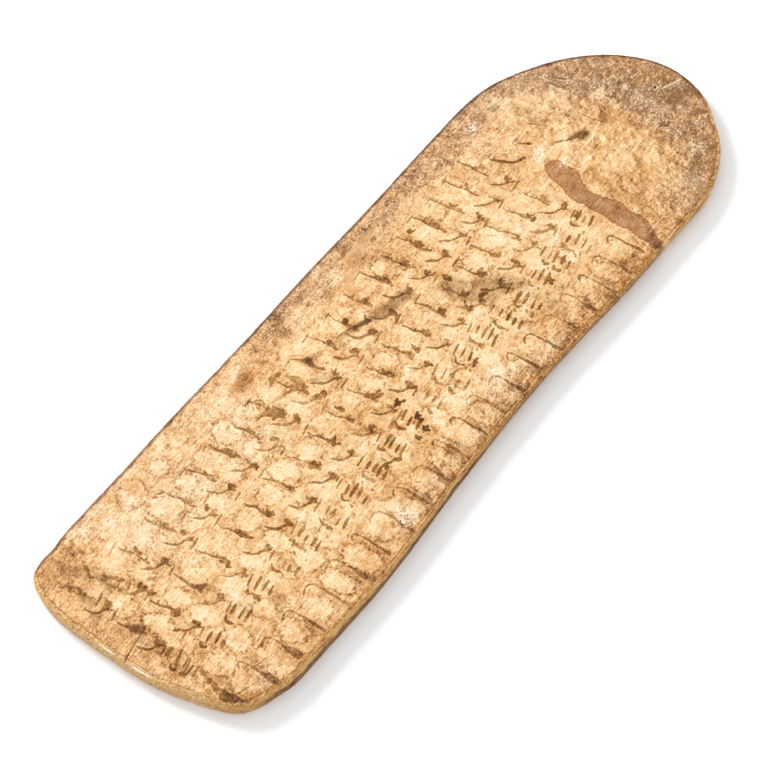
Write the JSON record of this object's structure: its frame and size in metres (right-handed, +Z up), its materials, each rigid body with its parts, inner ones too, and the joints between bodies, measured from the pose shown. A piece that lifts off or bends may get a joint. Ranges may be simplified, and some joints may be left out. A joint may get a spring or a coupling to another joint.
{
  "type": "koranic writing board",
  "caption": "Long flat wooden writing board with a round head and a blunt foot, washed and reused, with faded rows of ink strokes on its upper face.",
  "frame": {"origin": "centre of the box around the board, at the height of the underside that it rests on", "axes": "+Y along the board from the blunt foot to the round head, +Z up out of the written face, +X to the right of that face when its head is away from the viewer"},
  "size_m": [0.1718, 0.56, 0.0129],
  "materials": {
    "wood": "old pale wood, smoothed by washing, with faded ink, water marks and grime"
  },
  "bodies": {
    "root": {"board": "wood"}
  },
  "joints": []
}
